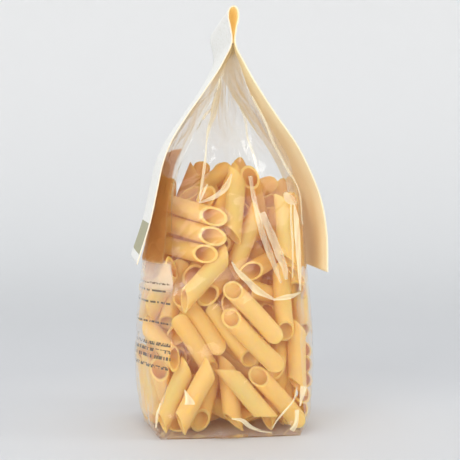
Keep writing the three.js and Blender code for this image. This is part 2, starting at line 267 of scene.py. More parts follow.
# The film's grid, and the heights in metres that its shape and finish go by: where the heap ends
# under it, where it stands free and turns milky, where the card's lower edge crosses the left panel,
# between which heights that panel has a painted reflection of the card, and where the patch of painted pale
# reflection below the card begins
GUSSET_STEPS = 100
PANEL_STEPS = 66
ROWS_AT_BASE = 12
ROWS_BELOW = 150
ROWS_ABOVE = 92
BASE_EDGE_TOP = 0.010
HEAP_TOP = 0.165
HEAP_ENDS = (0.150, 0.172)
STANDS_FREE = (0.150, 0.175)
MILKY_ABOVE = (0.156, 0.184)
CARD_BEGINS = (0.104, 0.108)
PAINTED_MIRROR_BEGINS = (0.1045, 0.1065)
PAINTED_MIRROR_ENDS = 0.1655
REFLECTION_PATCH_BEGINS = (0.084, 0.094)
BASE_EDGE = (0.004, BASE_EDGE_TOP)

# How milky the film is: everywhere, above the heap, at the base's edge, in its creases below and
# what these gain above; and the painted reflection of the pale surroundings as milkiness on the left panel
# below the card, and in the pale patch there
HAZE = 0.008
TOP_HAZE = 0.05
EDGE_HAZE = 0.04
CREASE_HAZE = 0.02
TOP_CREASE_HAZE = 0.03
PANEL_PAINTED_REFLECTION = 0.09
PATCH_PAINTED_REFLECTION = 0.34

# How strongly the painted reflection of the card shows on the left panel, how much its upper edge rises
# across the panel, how sharply it ends there, and where it ends across the panel
PAINTED_MIRROR_STRENGTH = 0.82
PAINTED_MIRROR_ARC = 0.010
PAINTED_MIRROR_EDGE = (-0.0010, 0.0004)
PAINTED_MIRROR_ACROSS = (0.90, 0.93)

# How the film clings: the gaps to a tube over which it sinks, the share of a tube's axis that its
# cut tips add at each end, the room that a tube behind it needs, and how often this is evened out
SINK_OVER = (0.0008, 0.0080)
TIP_SHARE = 0.13
BACKED_ROOM = 0.0003
SMOOTH_ROUNDS = 6

# Sizes of the film's creases: the broad and fine ones, the long ones above, and the milky ones
BROAD_CREASE = 0.030
FINE_CREASE = 0.012
LONG_CREASE = 0.016
MILKY_CREASE = 0.020

# The base's rings of points as shares of its outline, how high it lies, and how milky it and the seal
# at the neck are
BASE_RINGS = (0.04, 0.2, 0.4, 0.6, 0.8, 0.93)
BASE_HEIGHT = 0.0002
BASE_HAZE = 0.08
NECK_SEAL_HAZE = 0.1
NECK_SEAL_RISE = 0.0003

# Rows of printed bars by height and their half heights, with the bolder ones below BOLD_BELOW. They
# lie on the left panel, left of the first line and in front of the second
BAR_ROWS = (0.0931, 0.0886, 0.0816, 0.0694, 0.0568, 0.0528, 0.0488, 0.0430)
BOLD_BELOW = 0.06
BOLD_HALF = 0.0010
FINE_HALF = 0.0006
BARS_LEFT_OF = -0.0372
BARS_BEFORE = 0.018

# What breaks the rows into bars: how fast it changes along and up the panel, the level above which
# there is ink, and how dense the ink is
BAR_TURNS = (190.0, 300.0)
BAR_NOISE = 2.3
BAR_LEVEL = 0.48
BAR_INK = 0.88

# The card's grid, how far its free ends curl, and the olive band from a flap's end and from its side
CARD_STEPS = 230
CARD_STEPS_ACROSS = 44
CARD_FINE_STEPS = 3000
CURL = 0.0006
CURL_REACH = 0.07
BAND = (0.0055, 0.025)
BAND_ACROSS = (0.004, 0.096)

# The floor: its flat radius, the radius of its rise and the height of its wall, in metres
FLOOR_FLAT = 0.8
FLOOR_RISE = 0.8
FLOOR_TOP = 1.7
FLOOR_TURNS = 96
FLOOR_RISE_STEPS = 12
# Painted shade on the floor by distance from the packet: darkest a little way from it, paler towards the
# wall
FLOOR_PAINTED_SHADE = [
    (0.02, (0.62, 0.63, 0.645, 1)), (0.15, (0.56, 0.57, 0.59, 1)), (0.34, (0.58, 0.59, 0.605, 1)),
    (0.68, (0.68, 0.69, 0.70, 1)), (1.0, (0.77, 0.77, 0.77, 1)),
]

# Soft lights: place, what it is aimed at, width and height, share of the key light's power, colour
SOFTBOXES = {
    "key_light": ((-0.80, -0.90, 0.50), (0, 0, 0.12), (0.6, 0.8), 1.0, (1.0, 0.985, 0.96)),
    "front_light": ((-0.12, -1.25, 0.34), (0, 0, 0.05), (1.6, 0.62), 1.1, (1.0, 0.99, 0.97)),
    "side_light": ((1.0, -0.30, 0.50), (0, 0, 0.12), (0.3, 0.6), 0.4, (1.0, 0.99, 0.97)),
    "top_light": ((0.0, 0.1, 1.25), (0, 0, 0.12), (0.9, 0.9), 0.35, (1.0, 1.0, 1.0)),
}
CAMERA_PLACE = (-0.0754, -0.6467, 0.1479)
CAMERA_AIM = (0.004, 0.0, 0.124)


def length_setting(name, description, default):
    return FloatProperty(name=name, description=description, default=default, unit="LENGTH")


def colour_setting(name, description, default):
    return FloatVectorProperty(
        name=name, description=description, default=default, subtype="COLOR", min=0, max=1)


class PastaSettings(bpy.types.PropertyGroup):
    """Sizes and colours of the penne"""

    radius: length_setting("Tube radius", "Outer radius of a tube", 0.0058)
    wall: length_setting("Wall", "Thickness of a tube's wall", 0.00125)
    axis: length_setting("Axis length", "Length between the middles of the ends", 0.037)
    bend: length_setting("Bend", "How far a tube bows at most", 0.0007)
    count: IntProperty(name="Tubes", description="Number of tubes in the bag", default=200, min=40, max=400)
    kinds: IntProperty(
        name="Shapes", description="Number of different tube shapes", default=6, min=1, max=12)
    colour: colour_setting("Pasta", "Colour of the pasta", (0.80, 0.505, 0.160))
    cut_colour: colour_setting("Cut ends", "Colour of the cut ends", (0.88, 0.60, 0.215))


class FilmSettings(bpy.types.PropertyGroup):
    """Finish of the film"""

    crumple: length_setting("Crumple", "Height of the small creases", 0.0007)
    sag: length_setting("Cling", "How far the film sinks between the tubes", 0.0018)
    roughness: FloatProperty(
        name="Roughness", description="Roughness of the film's gloss", default=0.10, subtype="FACTOR")
    haze_colour: colour_setting("Haze", "Colour of the film's milky haze", (1.0, 0.95, 0.86))
    # Also the colour of the painted highlights among the folds
    pleat_and_glint_colour: colour_setting("Pleats", "Colour of the milky folds", (1.0, 0.90, 0.62))


class CardSettings(bpy.types.PropertyGroup):
    """Sizes and colours of the header card"""

    thickness: length_setting("Thickness", "Thickness of the card", 0.0007)
    kraft: colour_setting("Inside", "Colour of the bare inside", (0.90, 0.79, 0.52))
    print_ground: colour_setting("Outside", "Ground colour of the printed outside", (0.80, 0.795, 0.765))
    band: colour_setting("Band", "Colour of the band near the flaps' ends", (0.36, 0.34, 0.20))


class StageSettings(bpy.types.PropertyGroup):
    """Camera and lights"""

    lens: FloatProperty(name="Lens", description="Focal length of the camera in millimetres", default=79.6)
    surroundings: FloatProperty(
        name="Surroundings", description="Brightness of the surroundings", default=0.93)
    key_power: FloatProperty(
        name="Key light", description="Power of the main soft light in watts", default=5.8)


# Curves and sections

def smooth_curve(keys, values, at):
    """A cubic curve through the rows of values at keys, read at each number of at."""
    slopes = np.gradient(values, keys, axis=0)
    at = np.clip(at, keys[0], keys[-1])
    i = np.clip(np.searchsorted(keys, at, side="right") - 1, 0, len(keys) - 2)
    width = (keys[i + 1] - keys[i])[:, None]
    t = (at - keys[i])[:, None] / width
    start = (1 + 2 * t) * (1 - t) ** 2 * values[i] + t * (1 - t) ** 2 * width * slopes[i]
    end = t * t * (3 - 2 * t) * values[i + 1] + t * t * (t - 1) * width * slopes[i + 1]
    return start + end


def smoothstep(value, low, high):
    t = np.clip((value - low) / (high - low), 0, 1)
    return t * t * (3 - 2 * t)


def unit(vectors):
    return vectors / np.linalg.norm(vectors, axis=-1, keepdims=True)


def run_along(points):
    """How far along a line of points each of them lies."""
    return np.concatenate([[0], np.cumsum(np.linalg.norm(np.diff(points, axis=0), axis=1))])


def sections(heights):
    """Corner lines, bellies and depths of the bag at each height."""
    return smooth_curve(BAG_SECTIONS[:, 0], BAG_SECTIONS[:, 1:], np.asarray(heights, float)).T


def outline(heights, gusset_steps, panel_steps):
    """The bag's outline at each height as rows of points, anticlockwise from the front left corner."""
    heights = np.asarray(heights, float)
    left, right, left_belly, right_belly, corner, gusset = (v[:, None] for v in sections(heights))
    fold = smoothstep(heights, FOLD_START, FOLD_FULL)[:, None]
    g = (np.arange(gusset_steps) / gusset_steps)[None, :]
    p = (np.arange(panel_steps) / panel_steps)[None, :]
    gusset_belly = (1 - fold) * 4 * g * (1 - g) + fold * (1 - np.abs(2 * g - 1))
    panel_belly = 4 * p * (1 - p)
    front = np.stack([left + (right - left) * g, -(corner + (gusset - corner) * gusset_belly)], -1)
    right_side = np.stack([right + (right_belly - right) * panel_belly, -corner * (1 - 2 * p)], -1)
    back = np.stack([right + (left - right) * g, corner + (gusset - corner) * gusset_belly], -1)
    left_side = np.stack([left + (left_belly - left) * panel_belly, corner * (1 - 2 * p)], -1)
    return np.concatenate([front, right_side, back, left_side], 1)


def depth_in_bag(points):
    """How far each point lies inside the bag's outline at its height, and the way inwards there."""
    ring = outline(points[:, 2], 8, 8)
    following = np.roll(ring, -1, axis=1)
    edge = unit(following - ring)
    away = points[:, None, :2] - ring
    inside = edge[..., 0] * away[..., 1] - edge[..., 1] * away[..., 0]
    nearest = np.argmin(inside, axis=1)
    rows = np.arange(len(points))
    e = edge[rows, nearest]
    inwards = np.stack([-e[:, 1], e[:, 0], np.zeros(len(e))], 1)
    return inside[rows, nearest], inwards


# Laying the pasta

def nearest_on_segments(a0, a1, b0, b1):
    """Where two sets of segments come closest: the two parameters and the vector from a to b."""
    d1, d2, r = a1 - a0, b1 - b0, a0 - b0
    a = np.sum(d1 * d1, 1)
    e = np.sum(d2 * d2, 1)
    f = np.sum(d2 * r, 1)
    c = np.sum(d1 * r, 1)
    b = np.sum(d1 * d2, 1)
    denominator = np.maximum(a * e - b * b, 1e-12)
    s = np.clip((b * f - c * e) / denominator, 0, 1)
    t = (b * s + f) / e
    s = np.where(t < 0, np.clip(-c / a, 0, 1), np.where(t > 1, np.clip((b - c) / a, 0, 1), s))
    t = np.clip(t, 0, 1)
    gap = (b0 + d2 * t[:, None]) - (a0 + d1 * s[:, None])
    return s, t, gap


def front_places(length, radius):
    """Where the front tubes lie: each moves back from the film until it clears those laid before it.

    None moves back farther than its layer allows; what still touches is pushed apart later.
    """
    placed = np.zeros((0, 2, 3))
    for x, z, lean, forward, layer, _ in FRONT_TUBES:
        lean, forward = math.radians(lean), math.radians(forward)
        level = math.cos(forward)
        axis = np.array((math.cos(lean) * level, -math.sin(forward), math.sin(lean) * level))
        middle = np.array((x, FRONT_PLANE + LAYER_DEPTH * layer, z))
        deepest = None
        while deepest is None or middle[1] < deepest:
            tube = np.stack([middle - axis * length / 2, middle + axis * length / 2])
            along = tube[0] + np.linspace(0, 1, 5)[:, None] * (tube[1] - tube[0])
            inside = depth_in_bag(along)[0].min() > radius + FRONT_ROOM
            same = np.repeat(tube[None], len(placed), 0)
            gap = nearest_on_segments(same[:, 0], same[:, 1], placed[:, 0], placed[:, 1])[2]
            if inside and deepest is None:
                deepest = middle[1] + FRONT_SLACK + LAYER_DEPTH * layer
            if inside and np.all(np.linalg.norm(gap, axis=1) > FRONT_GAP * radius):
                break
            aside = 0 if inside or middle[1] < ASIDE_FROM else -DRIFT_ASIDE * middle[0]
            middle += (aside, STEP_BACK, 0)
        placed = np.concatenate([placed, tube[None]])
    return placed


def behind_front(points, front, radius):
    """How far back each point has to move so that it doesn't hide a front tube."""
    a, b = front[:, 0], front[:, 1]
    d = (b - a)[None]
    away = points[:, None] - a[None]
    flat = d[..., 0] ** 2 + d[..., 2] ** 2
    t = np.clip((away[..., 0] * d[..., 0] + away[..., 2] * d[..., 2]) / flat, 0, 1)
    gap = away - d * t[..., None]
    covers = np.hypot(gap[..., 0], gap[..., 2]) < HIDES_WITHIN * radius
    return np.where(covers, np.maximum(STAY_BEHIND * radius - gap[..., 1], 0), 0).max(1)


def pile_top(points):
    """How high the heap reaches at each point."""
    hump = PILE_HUMP * np.exp(-(points[:, 0] / PILE_WIDTH) ** 2)
    return PILE_EDGE + hump + PILE_WAVE * np.sin(points[:, 1] * PILE_WAVE_TURN)


def start_heap(rng, length, count):
    """The tubes before they settle: thrown at random through the bag."""
    axes = rng.normal(size=(count, 3))
    axes[:, 2] *= 0.9
    axes = unit(axes)
    bearing = rng.uniform(0, 2 * math.pi, count)
    spread = np.sqrt(rng.uniform(0, 1, count))
    middles = np.stack([
        START_WIDTH * spread * np.cos(bearing),
        START_BACK + START_DEPTH * spread * np.sin(bearing),
        rng.uniform(START_ROOM, PILE_TOP - START_ROOM, count),
    ], 1)
    return np.stack([middles - axes * length / 2, middles + axes * length / 2], 1)


def push_apart(ends, first, second, share, length, radius):
    """Moves tubes that cross away from each other, the first of each pair by its share."""
    middle = ends.mean(1)
    close = np.linalg.norm(middle[first] - middle[second], axis=1) < length + 2 * radius
    i, j, part = first[close], second[close], share[close]
    s, t, gap = nearest_on_segments(ends[i, 0], ends[i, 1], ends[j, 0], ends[j, 1])
    far = np.linalg.norm(gap, axis=1)
    push = 2 * radius - far
    hit = push > 0
    i, j, s, t, part, push = (values[hit] for values in (i, j, s, t, part, push))
    way = gap[hit] / np.maximum(far[hit], 1e-6)[:, None]
    for who, at, amount in ((i, s, -push * part), (j, t, push * (1 - part))):
        move = way * (amount * PUSH_APART)[:, None]
        grip = (1 - at) ** 2 + at ** 2
        np.add.at(ends[:, 0], who, move * ((1 - at) / grip)[:, None])
        np.add.at(ends[:, 1], who, move * (at / grip)[:, None])


def keep_in_bag(ends, at, fronts, radius):
    """Moves the tubes so that their points at this share of the length lie well.

    Such a point keeps clear of the film and the floor, lies below the heap's top, and stays behind
    the front tubes unless it is on one of them.
    """
    room = radius + FILM_ROOM
    point = ends[:, 0] * (1 - at) + ends[:, 1] * at
    depth, inwards = depth_in_bag(point)
    move = inwards * np.maximum(room - depth, 0)[:, None]
    move[:, 2] += np.maximum(room + FLOOR_ROOM - point[:, 2], 0)
    move[:, 2] -= np.maximum(point[:, 2] + radius - pile_top(point), 0) * PRESS_DOWN
    hides = behind_front(point, ends[:fronts], radius)
    move[:, 1] += np.where(np.arange(len(ends)) < fronts, 0, KEEP_BEHIND * hides)
    grip = (1 - at) ** 2 + at ** 2
    ends[:, 0] += move * (1 - at) / grip
    ends[:, 1] += move * at / grip
    # A tube that meets the film with one end turns to lie along it
    if at in (0.0, 1.0):
        along = ends[:, 1] - ends[:, 0]
        at_film = depth < TURN_WITHIN * room
        lean = np.sum(along * inwards, 1) * np.where(at_film, TURN_ALONG, 0.0)
        lean[:fronts] = 0
        ends[:, 0] += inwards * lean[:, None]
        ends[:, 1] -= inwards * lean[:, None]


def lay_tubes(settings):
    """Finds a resting place for every tube, as the two ends of its axis.

    Rods are pushed apart where they cross and pushed in where they reach the film, while a light
    pull moves them down. The front ones are drawn back to where the photograph shows them, and the
    others keep behind them.
    """
    rng = np.random.default_rng(SEED)
    length, radius, count = settings.axis, settings.radius, settings.count
    front = front_places(length, radius)
    fronts = len(front)
    ends = start_heap(rng, length, count)
    ends[:fronts] = front
    first, second = np.triu_indices(count, 1)
    ease = np.where(np.arange(count) < fronts, FRONT_GIVES, 1.0)
    share = ease[first] / (ease[first] + ease[second])
    rounds = ROUNDS
    for step in range(rounds):
        done = step / rounds
        ends[fronts:, :, 2] -= FALL * (1 - smoothstep(done, *FALL_ENDS))
        push_apart(ends, first, second, share, length, radius)
        pull = PULL_TO_PLACE if done < LAST_PULL_AFTER else LAST_PULL
        ends[:fronts] += (front - ends[:fronts]) * pull
        for at in (0.0, 0.5, 1.0, 0.25, 0.75):
            keep_in_bag(ends, at, fronts, radius)
        middle = ends.mean(1)
        axis = unit(ends[:, 1] - ends[:, 0])
        ends[:, 0] = middle - axis * length / 2
        ends[:, 1] = middle + axis * length / 2
    return ends


def tips(ends, axis, side, radius):
    """The two tips of each tube, where its ends are cut on the slant."""
    reach = (axis + side) * radius
    return ends[:, 0] - reach, ends[:, 1] + reach


def tip_sides(ends, radius):
    """For each tube its axis and the side on which its far end runs to a tip.

    The front ones are turned as the photograph shows them, the others so that no tip reaches the film.
    """
    rng = np.random.default_rng(SEED + 1)
    axis = unit(ends[:, 1] - ends[:, 0])
    side = rng.normal(size=axis.shape)
    for i, (_, _, lean, _, _, faces) in enumerate(FRONT_TUBES):
        lean = math.radians(lean)
        side[i] = {
            "start": (0, -1, 0),
            "end": (0, 1, 0),
            "side": (-math.sin(lean), 0.35, math.cos(lean)),
        }[faces]
    side = unit(side - axis * np.sum(side * axis, 1, keepdims=True))
    across = np.cross(axis, side)
    best = np.full(len(ends), -1.0)
    chosen = side.copy()
    for turn in np.linspace(0, 2 * math.pi, ROLLS, endpoint=False):
        rolled = side * math.cos(turn) + across * math.sin(turn)
        room = np.full(len(ends), TIP_ROOM_ENOUGH)
        for tip in tips(ends, axis, rolled, radius):
            room = np.minimum(room, np.minimum(depth_in_bag(tip)[0], tip[:, 2]))
        better = room > best
        better[:len(FRONT_TUBES)] = False
        best[better] = room[better]
        chosen[better] = rolled[better]
    return axis, chosen


def draw_in(ends, axis, side, radius):
    """Moves the tubes inwards whose tips still reach through the film or the base."""
    for _ in range(DRAW_IN_ROUNDS):
        for tip in tips(ends, axis, side, radius):
            depth, inwards = depth_in_bag(tip)
            move = inwards * np.maximum(TIP_ROOM - depth, 0)[:, None]
            move[:, 2] += np.maximum(TIP_FLOOR_ROOM - tip[:, 2], 0)
            ends += move[:, None]
    return ends


# Mesh helpers

def ring_faces(mesh, rings):
    """Joins each ring of points to the next, and lists the new faces with their ring's number."""
    made = []
    for i, (a, b) in enumerate(zip(rings, rings[1:])):
        for k in range(len(a)):
            n = (k + 1) % len(a)
            made.append((i, mesh.faces.new((a[k], a[n], b[n], b[k]))))
    return made


def finished_mesh(mesh, name, smooth=False):
    data = bpy.data.meshes.new(name)
    mesh.to_mesh(data)
    mesh.free()
    if smooth:
        data.polygons.foreach_set("use_smooth", [True] * len(data.polygons))
    return data


def show(name, data):
    thing = bpy.data.objects.new(name, data)
    bpy.context.scene.collection.objects.link(thing)
    return thing


# The tubes

def tube_mesh(name, settings, around, stations, rng):
    """One tube of penne along Z: both ends cut on the slant, a little bent, not quite round."""
    mesh = bmesh.new()
    cut = mesh.faces.layers.float.new("cut")
    bend = rng.uniform(-1, 1, 2) * settings.bend
    oval = rng.uniform(0.955, 1.0)
    slant = rng.uniform(0.88, 1.10, 2)
    half = settings.axis / 2 * rng.uniform(0.96, 1.02)
    bore = settings.radius - settings.wall * rng.uniform(0.9, 1.15)

    def ring(radius, along):
        verts = []
        for k in range(around):
            angle = 2 * math.pi * k / around
            x, y = radius * math.cos(angle), radius * math.sin(angle) * oval
            tilt = slant[0] if along < 0 else slant[1]
            z = along * half + x * tilt * abs(along)
            bow = 1 - (z / half) ** 2
            verts.append(mesh.verts.new((x + bend[0] * bow, y + bend[1] * bow, z)))
        return verts

    rings = [ring(settings.radius, along) for along in np.linspace(-1, 1, stations)]
    rings += [ring(bore, along) for along in (1, -1)]
    cuts = (stations - 1, stations + 1)
    for i, face in ring_faces(mesh, rings + rings[:1]):
        face[cut] = i in cuts
        face.smooth = i not in cuts
    for edge in mesh.edges:
        edge.smooth = len({face.smooth for face in edge.link_faces}) == 1
    bmesh.ops.recalc_face_normals(mesh, faces=mesh.faces)
    return finished_mesh(mesh, name)


# Nodes

def put(tree, socket, value):
    """Gives a socket a value, or links another node's output to it."""
    if isinstance(value, bpy.types.NodeSocket):
        tree.links.new(value, socket)
    else:
        socket.default_value = value


def node(tree, kind, inputs=(), **settings):
    """Adds a node; inputs holds a value or an output for each of its sockets that is set."""
    made = tree.nodes.new(kind)
    for key, value in settings.items():
        setattr(made, key, value)
    for socket, value in dict(inputs).items():
        put(tree, made.inputs[socket], value)
    return made


def maths(tree, operation, *values, clamp=False):
    made = node(tree, "ShaderNodeMath", enumerate(values), operation=operation, use_clamp=clamp)
    return made.outputs[0]


def weighted(tree, a, share, b):
    """The sum of a and b, with a taking this share of it."""
    first = maths(tree, "MULTIPLY", a, share)
    return maths(tree, "ADD", first, maths(tree, "MULTIPLY", b, 1 - share))


def colour_mix(tree, factor, a, b, blend="MIX"):
    inputs = {"Factor": factor, 6: a, 7: b}
    return node(tree, "ShaderNodeMix", inputs, data_type="RGBA", blend_type=blend).outputs[2]


def shader_mix(tree, factor, a, b):
    return node(tree, "ShaderNodeMixShader", {0: factor, 1: a, 2: b}).outputs[0]


def ramp(tree, value, stops):
    made = node(tree, "ShaderNodeValToRGB", {0: value})
    elements = made.color_ramp.elements
    while len(elements) < len(stops):
        elements.new(0.5)
    for element, (position, shade) in zip(elements, stops):
        element.position = position
        element.color = (shade, shade, shade, 1) if isinstance(shade, (int, float)) else shade
    return made.outputs[0]


def noise(tree, coordinates, scale, detail=3.0, roughness=0.5):
    inputs = {"Vector": coordinates, "Scale": scale, "Detail": detail, "Roughness": roughness}
    return node(tree, "ShaderNodeTexNoise", inputs).outputs[0]


def attribute(tree, name):
    return node(tree, "ShaderNodeAttribute", attribute_name=name).outputs["Fac"]


def object_place(tree):
    return node(tree, "ShaderNodeTexCoord").outputs["Object"]


def split(tree, vector):
    return node(tree, "ShaderNodeSeparateXYZ", {0: vector}).outputs


def bump(tree, height, strength, distance):
    inputs = {"Height": height, "Strength": strength, "Distance": distance}
    return node(tree, "ShaderNodeBump", inputs).outputs[0]


def between(tree, value, low, high):
    above = maths(tree, "GREATER_THAN", value, low)
    return maths(tree, "MULTIPLY", above, maths(tree, "LESS_THAN", value, high))


def tinted(shade, factors=(1, 1, 1)):
    """A colour with each channel times its own factor, and full alpha."""
    return tuple(min(1, c * k) for c, k in zip(shade, factors)) + (1,)


def new_material(name):
    material = bpy.data.materials.new(name)
    material.use_nodes = True
    material.node_tree.nodes.clear()
    return material, material.node_tree


def solid_surface(tree, inputs):
    """Ends a material in one opaque shader with these inputs."""
    shader = node(tree, "ShaderNodeBsdfPrincipled", inputs)
    node(tree, "ShaderNodeOutputMaterial", {"Surface": shader.outputs[0]})


# The tubes on their points

def read_output(reader):
    """The output of a named attribute node that fits its data type."""
    return next(output for output in reader.outputs if output.enabled and output.name == "Attribute")


def scatter_tree(kinds, material):
    """Geometry nodes that put one of the tubes on every point, turned by the point's own turn."""
    tree = bpy.data.node_groups.new("tubes_on_points", "GeometryNodeTree")
    face = tree.interface
    face.new_socket("Geometry", in_out="INPUT", socket_type="NodeSocketGeometry")
    size = face.new_socket("Tube size", in_out="INPUT", socket_type="NodeSocketFloat")
    size.default_value = 1.0
    face.new_socket("Geometry", in_out="OUTPUT", socket_type="NodeSocketGeometry")
    start = node(tree, "NodeGroupInput")
    source = node(tree, "GeometryNodeCollectionInfo", {
        "Collection": kinds,
        "Separate Children": True,
        "Reset Children": True,
    })
    turn = node(tree, "GeometryNodeInputNamedAttribute", {"Name": "turn"}, data_type="FLOAT_VECTOR")
    kind = node(tree, "GeometryNodeInputNamedAttribute", {"Name": "kind"}, data_type="INT")
    place = node(tree, "GeometryNodeInstanceOnPoints", {
        "Points": start.outputs["Geometry"],
        "Instance": source.outputs["Instances"],
        "Pick Instance": True,
        "Instance Index": read_output(kind),
        "Rotation": read_output(turn),
        "Scale": start.outputs["Tube size"],
    })
    realize = node(tree, "GeometryNodeRealizeInstances", {"Geometry": place.outputs["Instances"]})
    paint = node(tree, "GeometryNodeSetMaterial", {
        "Geometry": realize.outputs["Geometry"],
        "Material": material,
    })
    node(tree, "NodeGroupOutput", {"Geometry": paint.outputs["Geometry"]})
    return tree, size.identifier


def scatter(name, tree, size_socket, ends, axis, side, kind, tone):
    """Runs the tubes' tree over one point for each tube and keeps the result as a plain mesh."""
    points = bpy.data.meshes.new(name + "_points")
    points.from_pydata([tuple(p) for p in ends.mean(1)], [], [])
    turns = []
    for u, v, w in zip(side, np.cross(axis, side), axis):
        turns += list(Matrix((u, v, w)).transposed().to_euler("XYZ"))
    for label, sort, field, values in (
            ("turn", "FLOAT_VECTOR", "vector", turns),
            ("kind", "INT", "value", kind.astype(np.int32)),
            ("tone", "FLOAT", "value", tone.astype(np.float32))):
        points.attributes.new(label, sort, "POINT").data.foreach_set(field, values)
    carrier = show(name + "_carrier", points)
    modifier = carrier.modifiers.new("tubes", "NODES")
    modifier.node_group = tree
    modifier[size_socket] = 1.0
    view = bpy.context.evaluated_depsgraph_get()
    mesh = bpy.data.meshes.new_from_object(carrier.evaluated_get(view))
    mesh.name = name
    carrier.modifiers.clear()
    bpy.data.objects.remove(carrier)
    return show(name, mesh)


# Materials

def pasta_material(settings):
    """Dry dough, mottled and speckled, with painted shade: tubes deeper in the heap are coloured darker
    than those at the film.
    """
    material, tree = new_material("pasta")
    # Painted shade: the darker colour goes to tubes deep in the heap and the paler to those at the film,
    # mixed with tone at random
    darker = tinted(settings.colour, (0.94, 0.86, 0.48))
    paler = tinted(settings.colour, (1.03, 1.10, 1.28))
    place = object_place(tree)
    broad = noise(tree, place, 70.0, 2.0)
    grain = noise(tree, place, 1500.0, 4.0, 0.7)
    tone = weighted(tree, attribute(tree, "tone"), 0.65, broad)
    body = colour_mix(tree, tone, darker, paler)
    specks = ramp(tree, grain, [(0.0, 0.84), (0.42, 0.97), (0.62, 1.0), (1.0, 1.10)])
    body = colour_mix(tree, 1.0, body, specks, "MULTIPLY")
    ends = maths(tree, "MULTIPLY", attribute(tree, "cut"), 0.4, clamp=True)
    # Some light comes through the thin walls under the surface; a little more is a painted warm glow that
    # the dough emits
    solid_surface(tree, {
        "Base Color": colour_mix(tree, ends, body, tinted(settings.cut_colour)),
        "Roughness": 0.6,
        "IOR": 1.45,
        "Subsurface Weight": 0.85,
        "Subsurface Radius": (0.85, 0.54, 0.12),
        "Subsurface Scale": 0.005,
        "Emission Color": (1.0, 0.40, 0.03, 1),
        "Emission Strength": 0.055,
        "Normal": bump(tree, grain, 0.5, 0.0001),
    })
    return material


def printed_bars(tree):
    """Rows of short plain bars printed on the film's left side, as a factor."""
    x, y, z = split(tree, object_place(tree))
    rows = 0.0
    for height in BAR_ROWS:
        half = BOLD_HALF if height < BOLD_BELOW else FINE_HALF
        off = maths(tree, "ABSOLUTE", maths(tree, "SUBTRACT", z, height))
        rows = maths(tree, "ADD", maths(tree, "LESS_THAN", off, half), rows)
    steps = node(tree, "ShaderNodeCombineXYZ", {
        1: maths(tree, "MULTIPLY", y, BAR_TURNS[0]),
        2: maths(tree, "FLOOR", maths(tree, "MULTIPLY", z, BAR_TURNS[1])),
    })
    broken = maths(tree, "GREATER_THAN", noise(tree, steps.outputs[0], BAR_NOISE, 2.0), BAR_LEVEL)
    on_side = maths(tree, "LESS_THAN", x, BARS_LEFT_OF)
    inside = maths(tree, "MULTIPLY", on_side, maths(tree, "LESS_THAN", y, BARS_BEFORE))
    shown = maths(tree, "MULTIPLY", maths(tree, "MULTIPLY", rows, broken), inside)
    return maths(tree, "MULTIPLY", shown, BAR_INK)


def film_material(settings, name, haze_colour):
    """Clear film, milky where it is creased.

    It lets most light through and mirrors more the flatter it is seen, from both of its faces.
    Where the painted_reflection attribute is set it mirrors more, tinted brown: a painted reflection of the
    card's inside.
    """
    material, tree = new_material(name)
    facing = node(tree, "ShaderNodeLayerWeight", {"Blend": 0.5}).outputs["Facing"]
    steep = maths(tree, "MULTIPLY", maths(tree, "POWER", facing, 5.0), 0.95)
    once = maths(tree, "ADD", steep, 0.022)
    twice = maths(tree, "DIVIDE", maths(tree, "MULTIPLY", once, 2.0), maths(tree, "ADD", once, 1.0))
    clear = node(tree, "ShaderNodeBsdfTransparent", {"Color": (0.985, 0.98, 0.97, 1)})
    milk = node(tree, "ShaderNodeBsdfDiffuse", {"Color": tinted(haze_colour)})
    lit_through = node(tree, "ShaderNodeBsdfTranslucent", {"Color": tinted(haze_colour)})
    ink = node(tree, "ShaderNodeBsdfDiffuse", {"Color": (0.10, 0.075, 0.055, 1)})
    painted_reflection = attribute(tree, "painted_reflection")
    # Painted reflection: the gloss is tinted brown where the painted_reflection attribute is set
    gloss = node(tree, "ShaderNodeBsdfAnisotropic", {
        "Color": colour_mix(tree, painted_reflection, (1, 1, 1, 1), (0.80, 0.44, 0.17, 1)),
        "Roughness": settings.roughness,
    })
    hazy = shader_mix(tree, 0.1, milk.outputs[0], lit_through.outputs[0])
    body = shader_mix(tree, attribute(tree, "haze"), clear.outputs[0], hazy)
    inked = shader_mix(tree, printed_bars(tree), body, ink.outputs[0])
    whole = shader_mix(tree, maths(tree, "MAXIMUM", twice, painted_reflection), inked, gloss.outputs[0])
    node(tree, "ShaderNodeOutputMaterial", {"Surface": whole})
    return material


def kraft_material(settings):
    """The card's bare inside: fibres that run across it, and a painted glow that stands in for light
    through the flaps.
    """
    material, tree = new_material("card_inside")
    place = object_place(tree)
    fibres = node(tree, "ShaderNodeMapping", {"Vector": place, "Scale": (1.0, 0.25, 1.0)})
    fine = noise(tree, fibres.outputs[0], 1800.0, 4.0, 0.65)
    tone = weighted(tree, fine, 0.6, noise(tree, place, 60.0, 3.0))
    dark = tinted(settings.kraft, (0.82, 0.78, 0.70))
    pale = tinted(settings.kraft, (1.12, 1.16, 1.22))
    # Painted glow: the inside emits more light higher up, and warmer light in the loop, standing in for
    # light through the card and bounced in the loop
    height = split(tree, place)[2]
    rise = maths(tree, "MULTIPLY", maths(tree, "SUBTRACT", height, 0.165, clamp=True), 0.55)
    glow_in_loop = maths(tree, "GREATER_THAN", height, 0.238)
    solid_surface(tree, {
        "Base Color": colour_mix(tree, tone, dark, pale),
        "Roughness": 0.62,
        "Emission Color": colour_mix(tree, glow_in_loop, (0.92, 0.75, 0.48, 1), (0.90, 0.62, 0.26, 1)),
        "Emission Strength": maths(tree, "ADD", rise, 0.125),
        "Normal": bump(tree, fine, 0.3, 0.00006),
    })
    return material


